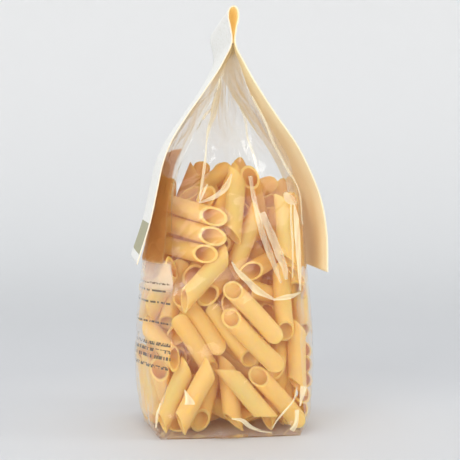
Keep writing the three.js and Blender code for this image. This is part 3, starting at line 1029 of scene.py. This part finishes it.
def printed_material(settings):
    """The card's outside: a cream ground, rows of small marks, and an olive band near each end."""
    material, tree = new_material("card_outside")
    card_place = node(tree, "ShaderNodeUVMap", uv_map="card").outputs[0]
    along, from_end = split(tree, card_place)[:2]
    rows = maths(tree, "FRACT", maths(tree, "MULTIPLY", along, 220.0))
    marks = node(tree, "ShaderNodeTexVoronoi", {"Vector": card_place, "Scale": 640.0})
    dots = maths(tree, "LESS_THAN", marks.outputs["Distance"], 0.36)
    field = maths(tree, "MULTIPLY", maths(tree, "GREATER_THAN", rows, 0.42), dots)
    spotted = maths(tree, "MULTIPLY", field, 0.4)
    paper = noise(tree, object_place(tree), 1600.0, 4.0)
    shade = ramp(tree, paper, [(0.0, 0.93), (0.5, 1.0), (1.0, 1.03)])
    colours = colour_mix(tree, spotted, tinted(settings.print_ground), (0.50, 0.46, 0.33, 1))
    in_band = maths(tree, "MULTIPLY", between(tree, from_end, *BAND), between(tree, along, *BAND_ACROSS))
    colours = colour_mix(tree, in_band, colours, tinted(settings.band))
    solid_surface(tree, {
        "Base Color": colour_mix(tree, 1.0, colours, shade, "MULTIPLY"),
        "Roughness": 0.55,
        "Normal": bump(tree, paper, 0.15, 0.00005),
    })
    return material


def edge_material():
    material, tree = new_material("card_edge")
    fine = noise(tree, object_place(tree), 2500.0, 3.0)
    solid_surface(tree, {
        "Base Color": colour_mix(tree, fine, (0.76, 0.65, 0.46, 1), (0.86, 0.76, 0.58, 1)),
        "Roughness": 0.8,
    })
    return material


def floor_material():
    """A pale ground with painted shade, darkest a little way from the packet, and a painted glow that it
    emits towards its rim.
    """
    material, tree = new_material("stage_floor")
    x, y = split(tree, object_place(tree))[:2]
    squares = [maths(tree, "POWER", maths(tree, "ABSOLUTE", v), 2.0) for v in (x, y)]
    away = maths(tree, "SQRT", maths(tree, "ADD", *squares))
    reach = maths(tree, "DIVIDE", away, FLOOR_FLAT + FLOOR_RISE)
    painted_glow = maths(tree, "SUBTRACT", reach, 0.6, clamp=True)
    solid_surface(tree, {
        "Base Color": ramp(tree, reach, FLOOR_PAINTED_SHADE),
        "Roughness": 0.7,
        "Emission Color": (1, 1, 1, 1),
        "Emission Strength": maths(tree, "MULTIPLY", painted_glow, 0.15),
    })
    return material


# The film

def creased(points, seed, size, folds=9):
    """A crumpled height at each point, mostly within 1: flat facets that meet in sharp creases."""
    rng = np.random.default_rng(seed)
    warp = np.zeros_like(points)
    for _ in range(3):
        way = rng.normal(size=3)
        way /= np.linalg.norm(way) * size * 3.1
        wave = np.sin(points @ way * 2 * math.pi + rng.uniform(0, 6))
        warp += wave[:, None] * rng.normal(size=3) * size * 0.22
    total = np.full(len(points), -9.0)
    for _ in range(folds):
        way = rng.normal(size=3)
        way /= np.linalg.norm(way)
        wave = (points + warp) @ way / (size * rng.uniform(0.8, 1.9)) + rng.uniform(0, 1)
        total = np.maximum(total, np.abs((wave % 1) * 2 - 1) * rng.uniform(0.5, 1.0))
    return (total - total.mean()) / max(total.std(), 1e-6) * 0.5


def smoothed(grid, times):
    """Evens out a value over its neighbours, round the bag and up it."""
    for _ in range(times):
        grid = (2 * grid + np.roll(grid, 1, 1) + np.roll(grid, -1, 1)) / 4
        grid[1:-1] = (2 * grid[1:-1] + grid[:-2] + grid[2:]) / 4
    return grid


def film_rows():
    return np.concatenate([
        np.linspace(0.0, BASE_EDGE_TOP, ROWS_AT_BASE, endpoint=False),
        np.linspace(BASE_EDGE_TOP, HEAP_TOP, ROWS_BELOW, endpoint=False),
        np.linspace(HEAP_TOP, NECK_HEIGHT, ROWS_ABOVE),
    ])


def film_cling(points, ends, sag, radius):
    """How far the film sinks where no tube backs it, and stands out where one presses on it."""
    reach = np.full(len(points), 1.0)
    tip_reach = np.full(len(points), 1.0)
    for a, b in ends:
        d = b - a
        t = (points - a) @ d / (d @ d)
        on_axis = a + np.clip(t, 0, 1)[:, None] * d
        past_end = a + np.clip(t, -TIP_SHARE, 1 + TIP_SHARE)[:, None] * d
        reach = np.minimum(reach, np.linalg.norm(points - on_axis, axis=1) - radius)
        tip_reach = np.minimum(tip_reach, np.linalg.norm(points - past_end, axis=1) - radius)
    filled = 1 - smoothstep(points[:, 2], *HEAP_ENDS)
    sink = -sag * smoothstep(tip_reach, *SINK_OVER) * filled
    rise = np.maximum(BACKED_ROOM - reach, 0) * filled
    return sink + rise


def film_wrinkles(points, crumple):
    """The film's small creases: most where it stands free, round ones below and long ones above."""
    height = points[:, 2]
    above = smoothstep(height, *STANDS_FREE)
    rough = crumple * (0.55 + 1.0 * above)
    rough += crumple * 1.8 * (1 - smoothstep(height, 0.0, 0.018))
    rough *= smoothstep(NECK_HEIGHT - height, 0.004, 0.030)
    wrinkle = creased(points, 3, BROAD_CREASE) * 0.8 + creased(points, 5, FINE_CREASE) * 0.5
    long_wrinkle = creased(points * (1, 1, 0.22), 4, LONG_CREASE) * 0.9
    wrinkle += (long_wrinkle - wrinkle) * above
    return wrinkle * rough


def film_finish(points, column):
    """How milky the film is at each point, and how strong the painted reflection of the card's inside is
    there.
    """
    height = points[:, 2]
    above = smoothstep(height, *STANDS_FREE)
    haze = HAZE + TOP_HAZE * smoothstep(height, *MILKY_ABOVE)
    haze += EDGE_HAZE * (1 - smoothstep(height, *BASE_EDGE))
    in_creases = np.clip(creased(points, 7, MILKY_CREASE), 0, 1)
    haze += (CREASE_HAZE + TOP_CREASE_HAZE * above) * in_creases
    across = (column - 2 * GUSSET_STEPS - PANEL_STEPS) / PANEL_STEPS
    on_left = across >= 0
    # Painted reflection: below the card the left panel is made milky and pale, standing in for the pale
    # surroundings that it mirrors
    below_card = 1 - smoothstep(height, *CARD_BEGINS)
    reflection_patch = smoothstep(height, *REFLECTION_PATCH_BEGINS) * below_card
    haze += np.where(on_left, PANEL_PAINTED_REFLECTION * below_card + PATCH_PAINTED_REFLECTION * reflection_patch, 0.0)
    # Painted reflection: under the card, where the left panel is seen flat, it is made to mirror the card's
    # inside more strongly than its shape alone does
    arc = PAINTED_MIRROR_ENDS + PAINTED_MIRROR_ARC * np.clip(across, 0, 1) ** 0.5
    painted_mirror_mask = smoothstep(height, *PAINTED_MIRROR_BEGINS)
    painted_mirror_mask *= 1 - smoothstep(height, arc + PAINTED_MIRROR_EDGE[0], arc + PAINTED_MIRROR_EDGE[1])
    painted_mirror_mask *= 1 - smoothstep(across, *PAINTED_MIRROR_ACROSS)
    return np.clip(haze, 0, 1), np.where(on_left, PAINTED_MIRROR_STRENGTH * painted_mirror_mask, 0.0)


def film_grid(ends, settings, radius):
    """The wrapped film as a grid of points, row by row round the bag, with its haze and its painted
    reflection.
    """
    heights = film_rows()
    ring = outline(heights, GUSSET_STEPS, PANEL_STEPS)
    shape = ring.shape[:2]
    grid = np.concatenate([ring, np.repeat(heights[:, None], shape[1], 1)[..., None]], 2)
    along = np.roll(grid, -1, 1) - np.roll(grid, 1, 1)
    normal = np.cross(along, np.gradient(grid, axis=0))
    normal /= np.maximum(np.linalg.norm(normal, axis=2, keepdims=True), 1e-9)
    points = grid.reshape(-1, 3)
    cling = film_cling(points, ends, settings.sag, radius).reshape(shape)
    cling = smoothed(cling, SMOOTH_ROUNDS).ravel()
    flat_base = smoothstep(points[:, 2], 0.0, 0.004)
    move = (cling + film_wrinkles(points, settings.crumple)) * flat_base
    moved = points + normal.reshape(-1, 3) * move[:, None]
    haze, painted_reflection = film_finish(points, np.tile(np.arange(shape[1]), shape[0]))
    return moved.reshape(*shape, 3), haze.reshape(shape), painted_reflection.reshape(shape)


def film_mesh(name, grid, haze, painted_reflection):
    """Closes the grid of points with a base below and a flat seal at the neck."""
    mesh = bmesh.new()
    milk = mesh.verts.layers.float.new("haze")
    painted_reflection_layer = mesh.verts.layers.float.new("painted_reflection")

    def add(point, value, painted_mirror=0.0):
        vert = mesh.verts.new(point)
        vert[milk] = value
        vert[painted_reflection_layer] = painted_mirror
        return vert

    rings = []
    base = grid[0]
    middle = base.mean(0)
    for share in BASE_RINGS:
        ring = middle + (base - middle) * share + (0, 0, BASE_HEIGHT)
        rings.append([add(tuple(p), BASE_HAZE) for p in ring])
    for row, values, painted_mirrors in zip(grid, haze, painted_reflection):
        rings.append([add(tuple(p), float(v), float(m)) for p, v, m in zip(row, values, painted_mirrors)])
    seal = [add((0.0, p[1], p[2] + NECK_SEAL_RISE), NECK_SEAL_HAZE) for p in grid[-1]]
    rings.append(seal)
    ring_faces(mesh, rings)
    mesh.faces.new(list(reversed(rings[0])))
    bmesh.ops.remove_doubles(mesh, verts=seal, dist=1e-6)
    return finished_mesh(mesh, name, smooth=True)


def front_depth(across, up):
    """Where the film's front lies at each place, across and up."""
    ring = outline(up, FRONT_STEPS, 2)[:, :FRONT_STEPS + 1]
    return np.array([np.interp(x, row[:, 0], row[:, 1]) for x, row in zip(across, ring)])


def pleat_strip(mesh, milk, number, milkiness, line):
    """Lays one strip of the table, a fold or a painted highlight, as a narrow strip of film that stands off
    a little along one edge.
    """
    keys = np.array(line) / 1000
    run = run_along(keys[:, :2])
    stations = max(8, int(run[-1] / PLEAT_STEP))
    curve = smooth_curve(run, keys, np.linspace(0, run[-1], stations))
    way = unit(np.gradient(curve[:, :2], axis=0))
    across = np.stack([-way[:, 1], way[:, 0]], 1)
    wobble = 1 + 0.07 * np.sin(np.arange(stations) * 0.9 + number)
    strips = []
    for t, share in PLEAT_SHARES:
        place = curve[:, :2] + across * (curve[:, 2] * t / 2 * wobble)[:, None]
        lift = PLEAT_STANDS_OFF + curve[:, 2] * PLEAT_LIFT * (t + 1)
        depth = front_depth(place[:, 0], np.clip(place[:, 1], 0.0, NECK_HEIGHT)) - lift
        uneven = 0.85 + 0.15 * np.sin(np.arange(stations) * 0.55 + 3 * t + number)
        strip = []
        for (x, z), y, part in zip(place, depth, uneven):
            vert = mesh.verts.new((x, y, max(z, PLEAT_LOWEST)))
            vert[milk] = milkiness * share * part
            strip.append(vert)
        strips.append(strip)
    for a, b in zip(strips, strips[1:]):
        for i in range(stations - 1):
            mesh.faces.new((a[i], a[i + 1], b[i + 1], b[i]))


def pleat_and_glint_mesh(name):
    """The folds that show, the painted highlights laid like them, and the end of the bottom seal that lies
    on the floor.
    """
    mesh = bmesh.new()
    milk = mesh.verts.layers.float.new("haze")
    for number, (milkiness, line) in enumerate(PLEATS_AND_PAINTED_GLINTS):
        pleat_strip(mesh, milk, number, milkiness, line)
    for height in SEAL_LAYERS:
        corners = []
        for x, y in SEAL_END:
            vert = mesh.verts.new((x, y, height - (y - SEAL_END[0][1]) * 0.06))
            vert[milk] = 0.10
            corners.append(vert)
        mesh.faces.new(corners)
    for each in mesh.faces:
        each.normal_update()
        if each.normal.y > 0 or each.normal.z < -0.5:
            each.normal_flip()
    return finished_mesh(mesh, name, smooth=True)


# The card

def card_curve(steps):
    """Points along the card's middle line, evenly spaced, with the way up from its inside there."""
    keys = np.array(CARD_LEFT_FLAP + CARD_LOOP + CARD_RIGHT_FLAP)
    key_run = run_along(keys)
    fine = smooth_curve(key_run, keys, np.linspace(0, key_run[-1], CARD_FINE_STEPS))
    run = run_along(fine)
    even = np.linspace(0, run[-1], steps + 1)
    points = np.stack([np.interp(even, run, fine[:, i]) for i in (0, 1)], 1)
    way = unit(np.gradient(points, axis=0))
    return points, np.stack([-way[:, 1], way[:, 0]], 1), even


def card_sheet(mesh, points, outwards, run, offset):
    """One side of the card as rows of points; its free ends curl a little, most at one corner."""
    sheet = []
    for (x, z), (nx, nz), s in zip(points, outwards, run):
        row = []
        flap = min(s, run[-1] - s)
        loose = max(0.0, 1 - flap / CURL_REACH) ** 2
        for k in range(CARD_STEPS_ACROSS + 1):
            t = k / CARD_STEPS_ACROSS * 2 - 1
            off = offset + CURL * loose * math.sin(2.3 * t + 0.6)
            row.append(mesh.verts.new((x + nx * off, t * CARD_WIDTH / 2, z + nz * off)))
        sheet.append(row)
    return sheet


def card_mesh(name, settings):
    """The folded card, with its printed outside, its bare inside and its cut edges."""
    points, outwards, run = card_curve(CARD_STEPS)
    mesh = bmesh.new()
    uv = mesh.loops.layers.uv.new("card")
    half = settings.thickness / 2
    outer, inner = (card_sheet(mesh, points, outwards, run, offset) for offset in (half, -half))

    def face(corners, slot, coordinates=()):
        made = mesh.faces.new(corners)
        made.material_index = slot
        made.smooth = slot != 2
        for loop, place in zip(made.loops, coordinates):
            loop[uv].uv = place

    for i in range(CARD_STEPS):
        near, far = (min(s, run[-1] - s) for s in (run[i], run[i + 1]))
        o0, o1, i0, i1 = outer[i], outer[i + 1], inner[i], inner[i + 1]
        for k in range(CARD_STEPS_ACROSS):
            y0, y1 = (n / CARD_STEPS_ACROSS * CARD_WIDTH for n in (k, k + 1))
            face((o0[k], o0[k + 1], o1[k + 1], o1[k]), 0, [(y0, near), (y1, near), (y1, far), (y0, far)])
            face((i0[k], i1[k], i1[k + 1], i0[k + 1]), 1)
        for k in (0, CARD_STEPS_ACROSS):
            face((o0[k], o1[k], i1[k], i0[k]), 2)
    for i in (0, CARD_STEPS):
        for k in range(CARD_STEPS_ACROSS):
            face((outer[i][k], outer[i][k + 1], inner[i][k + 1], inner[i][k]), 2)
    bmesh.ops.recalc_face_normals(mesh, faces=mesh.faces)
    return finished_mesh(mesh, name)


# The stage

def floor_mesh(name):
    """A round flat floor whose rim curves up into a low wall."""
    profile = [(FLOOR_FLAT / 2, 0.0), (FLOOR_FLAT, 0.0)]
    for k in range(1, FLOOR_RISE_STEPS + 1):
        angle = k / FLOOR_RISE_STEPS * math.pi / 2
        rise = FLOOR_RISE - FLOOR_RISE * math.cos(angle)
        profile.append((FLOOR_FLAT + FLOOR_RISE * math.sin(angle), rise))
    profile.append((FLOOR_FLAT + FLOOR_RISE, FLOOR_TOP))
    mesh = bmesh.new()
    turns = [2 * math.pi * k / FLOOR_TURNS for k in range(FLOOR_TURNS)]
    rings = [
        [mesh.verts.new((radius * math.cos(turn), radius * math.sin(turn), height)) for turn in turns]
        for radius, height in profile
    ]
    mesh.faces.new(rings[0])
    ring_faces(mesh, rings)
    bmesh.ops.recalc_face_normals(mesh, faces=mesh.faces)
    mesh.faces.ensure_lookup_table()
    if mesh.faces[0].normal.z < 0:
        bmesh.ops.reverse_faces(mesh, faces=mesh.faces)
    return finished_mesh(mesh, name, smooth=True)


def aimed(place, aim):
    """The turn that points a lamp or a camera from one place at another."""
    return (Vector(aim) - Vector(place)).to_track_quat("-Z", "Y").to_euler()


def softbox(name, place, aim, size, power, tint):
    lamp = bpy.data.lights.new(name, "AREA")
    lamp.shape = "RECTANGLE"
    lamp.size, lamp.size_y = size
    lamp.energy = power
    lamp.color = tint
    thing = show(name, lamp)
    thing.location = place
    thing.rotation_euler = aimed(place, aim)


def set_camera(scene, lens):
    camera_data = bpy.data.cameras.new("camera")
    camera_data.lens = lens
    camera_data.sensor_width = 36.0
    camera_data.clip_start = 0.01
    camera = show("camera", camera_data)
    camera.location = CAMERA_PLACE
    camera.rotation_euler = aimed(CAMERA_PLACE, CAMERA_AIM)
    scene.camera = camera


def set_surroundings(scene, strength):
    world = bpy.data.worlds.new("studio")
    scene.world = world
    world.use_nodes = True
    background = world.node_tree.nodes["Background"]
    background.inputs["Color"].default_value = (0.97, 0.985, 1.0, 1)
    background.inputs["Strength"].default_value = strength


# The pieces

def finish_piece(piece, slot, *replaced):
    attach(piece, BODY)
    if replaced:
        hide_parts(*replaced)


class PACKET_OT_lay_pasta(bpy.types.Operator):
    """Lay the tubes of penne that fill the bag"""

    bl_idname = "packet.lay_pasta"
    bl_label = "Lay the pasta"

    def execute(self, context):
        settings = context.scene.packet_pasta
        ends = lay_tubes(settings)
        axis, side = tip_sides(ends, settings.radius)
        ends = draw_in(ends, axis, side, settings.radius)
        material = pasta_material(settings)
        rng = np.random.default_rng(SEED + 2)
        kind = rng.integers(0, settings.kinds, len(ends))
        # Painted shade: the tubes deeper in the heap get a darker tone than those at the film, besides a
        # share of chance
        deep = smoothstep(depth_in_bag(ends.mean(1))[0], *SHADE_DEPTHS)
        tone = TONE_CHANCE * rng.uniform(0, 1, len(ends)) + (1 - TONE_CHANCE) * (1 - deep)
        fronts = len(FRONT_TUBES)
        for name, rows in (("front_tubes", slice(0, fronts)), ("heaped_tubes", slice(fronts, None))):
            around, stations = TUBE_DETAIL[name]
            kinds = bpy.data.collections.new(name + "_kinds")
            for k in range(settings.kinds):
                data = tube_mesh(f"tube_{k}", settings, around, stations, rng)
                data.materials.append(material)
                kinds.objects.link(bpy.data.objects.new(f"tube_{k}", data))
            tree, size_socket = scatter_tree(kinds, material)
            chosen = (values[rows] for values in (ends, axis, side, kind, tone))
            finish_piece(scatter(name, tree, size_socket, *chosen), "pasta", "filled_bag")
            for thing in list(kinds.objects):
                bpy.data.objects.remove(thing)
            bpy.data.collections.remove(kinds)
        context.scene["tube_ends"] = ends.ravel().tolist()
        return {"FINISHED"}


class PACKET_OT_wrap_film(bpy.types.Operator):
    """Wrap the clear film round the pasta, up to its flat neck"""

    bl_idname = "packet.wrap_film"
    bl_label = "Wrap the film"

    def execute(self, context):
        scene = context.scene
        settings = scene.packet_film
        if "tube_ends" not in scene:
            raise RuntimeError("lay the pasta first: the film clings to it")
        ends = np.array(scene["tube_ends"]).reshape(-1, 2, 3)
        data = film_mesh("film", *film_grid(ends, settings, scene.packet_pasta.radius))
        data.materials.append(film_material(settings, "film", settings.haze_colour))
        finish_piece(show("film", data), "film", "filled_bag")
        return {"FINISHED"}


class PACKET_OT_fold_pleats(bpy.types.Operator):
    """Lay the folds and pleats of the film, and the painted highlights that stand in for its glints"""

    bl_idname = "packet.fold_pleats"
    bl_label = "Fold the film's pleats"

    def execute(self, context):
        settings = context.scene.packet_film
        data = pleat_and_glint_mesh("film_pleats")
        data.materials.append(film_material(settings, "film_pleats", settings.pleat_and_glint_colour))
        finish_piece(show("film_pleats", data), "film")
        return {"FINISHED"}


class PACKET_OT_fold_card(bpy.types.Operator):
    """Fold the header card over the bag's neck"""

    bl_idname = "packet.fold_card"
    bl_label = "Fold the header card"

    def execute(self, context):
        settings = context.scene.packet_card
        data = card_mesh("folded_card", settings)
        for material in (printed_material(settings), kraft_material(settings), edge_material()):
            data.materials.append(material)
        finish_piece(show("folded_card", data), "card", "header_card")
        return {"FINISHED"}


class PACKET_OT_set_stage(bpy.types.Operator):
    """Set the floor, the soft lights and the camera"""

    bl_idname = "packet.set_stage"
    bl_label = "Set the stage"

    def execute(self, context):
        scene = context.scene
        settings = scene.packet_stage
        scene.view_settings.view_transform = "Standard"
        # The bag's front and back with their folds are many clear layers, one behind the other
        scene.cycles.transparent_max_bounces = 32
        scene.cycles.diffuse_bounces = 6
        floor = show("stage_floor", floor_mesh("stage_floor"))
        floor.data.materials.append(floor_material())
        set_surroundings(scene, settings.surroundings)
        for name, (place, aim, size, share, tint) in SOFTBOXES.items():
            softbox(name, place, aim, size, settings.key_power * share, tint)
        set_camera(scene, settings.lens)
        return {"FINISHED"}


class PACKET_PT_panel(bpy.types.Panel):
    """Lists what makes the packet"""

    bl_idname = "PACKET_PT_panel"
    bl_label = "Pasta packet"
    bl_space_type = "VIEW_3D"
    bl_region_type = "UI"
    bl_category = "Pasta packet"

    def draw(self, context):
        for operator in OPERATORS:
            self.layout.operator(operator.bl_idname)


SETTINGS = {
    "packet_pasta": PastaSettings,
    "packet_film": FilmSettings,
    "packet_card": CardSettings,
    "packet_stage": StageSettings,
}
OPERATORS = (
    PACKET_OT_lay_pasta,
    PACKET_OT_wrap_film,
    PACKET_OT_fold_pleats,
    PACKET_OT_fold_card,
    PACKET_OT_set_stage,
)


def register():
    for name, group in SETTINGS.items():
        bpy.utils.register_class(group)
        setattr(bpy.types.Scene, name, PointerProperty(type=group))
    for thing in OPERATORS + (PACKET_PT_panel,):
        bpy.utils.register_class(thing)


def unregister():
    for thing in reversed(OPERATORS + (PACKET_PT_panel,)):
        bpy.utils.unregister_class(thing)
    for name, group in SETTINGS.items():
        delattr(bpy.types.Scene, name)
        bpy.utils.unregister_class(group)


def main():
    register()
    bpy.ops.packet.lay_pasta()
    bpy.ops.packet.wrap_film()
    bpy.ops.packet.fold_pleats()
    bpy.ops.packet.fold_card()
    bpy.ops.packet.set_stage()
    bpy.context.view_layer.update()


if __name__ == "__main__":
    main()
